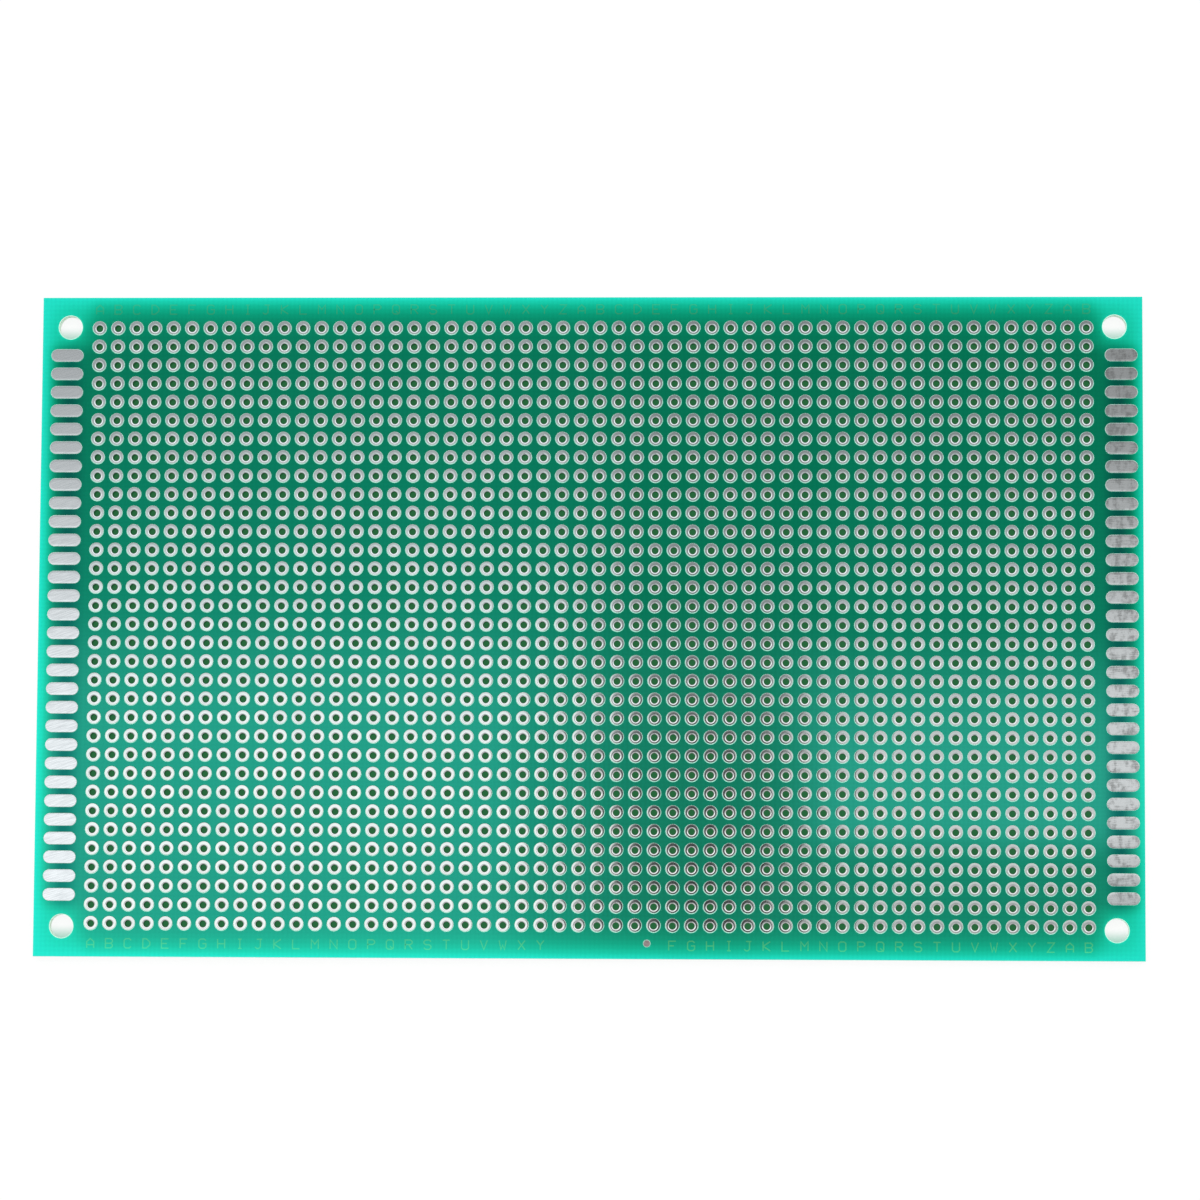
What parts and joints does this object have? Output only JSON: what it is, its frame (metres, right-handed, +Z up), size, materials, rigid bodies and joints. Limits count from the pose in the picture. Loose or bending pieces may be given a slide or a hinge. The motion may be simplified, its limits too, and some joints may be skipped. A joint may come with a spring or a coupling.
{
  "type": "prototype board",
  "caption": "Rectangular double-sided prototype board with a full grid of plated through holes, a row of edge contacts at each end and a screw hole in each corner.",
  "frame": {"origin": "centre of the board's footprint, on the plane of its underside contacts", "axes": "+X along the length towards the picture's right-hand end, +Y along the width towards the picture's top edge, +Z up out of the pictured face"},
  "size_m": [0.15, 0.09, 0.0016],
  "materials": {
    "laminate": "satin",
    "solder_mask": "gloss",
    "tinned_copper": "satin"
  },
  "bodies": {
    "root": {"board": "solder_mask", "edge_contacts_left_top": "tinned_copper", "edge_contacts_right_top": "tinned_copper", "edge_contacts_left_bottom": "tinned_copper", "edge_contacts_right_bottom": "tinned_copper", "fiducial_dot": "tinned_copper", "plated_holes_row_01": "tinned_copper", "plated_holes_row_02": "tinned_copper", "plated_holes_row_03": "tinned_copper", "plated_holes_row_04": "tinned_copper", "plated_holes_row_05": "tinned_copper", "plated_holes_row_06": "tinned_copper", "plated_holes_row_07": "tinned_copper", "plated_holes_row_08": "tinned_copper", "plated_holes_row_09": "tinned_copper", "plated_holes_row_10": "tinned_copper", "plated_holes_row_11": "tinned_copper", "plated_holes_row_12": "tinned_copper", "plated_holes_row_13": "tinned_copper", "plated_holes_row_14": "tinned_copper", "plated_holes_row_15": "tinned_copper", "plated_holes_row_16": "tinned_copper", "plated_holes_row_17": "tinned_copper", "plated_holes_row_18": "tinned_copper", "plated_holes_row_19": "tinned_copper", "plated_holes_row_20": "tinned_copper", "plated_holes_row_21": "tinned_copper", "plated_holes_row_22": "tinned_copper", "plated_holes_row_23": "tinned_copper", "plated_holes_row_24": "tinned_copper", "plated_holes_row_25": "tinned_copper", "plated_holes_row_26": "tinned_copper", "plated_holes_row_27": "tinned_copper", "plated_holes_row_28": "tinned_copper", "plated_holes_row_29": "tinned_copper", "plated_holes_row_30": "tinned_copper", "plated_holes_row_31": "tinned_copper", "plated_holes_row_32": "tinned_copper", "plated_holes_row_33": "tinned_copper"}
  },
  "joints": []
}
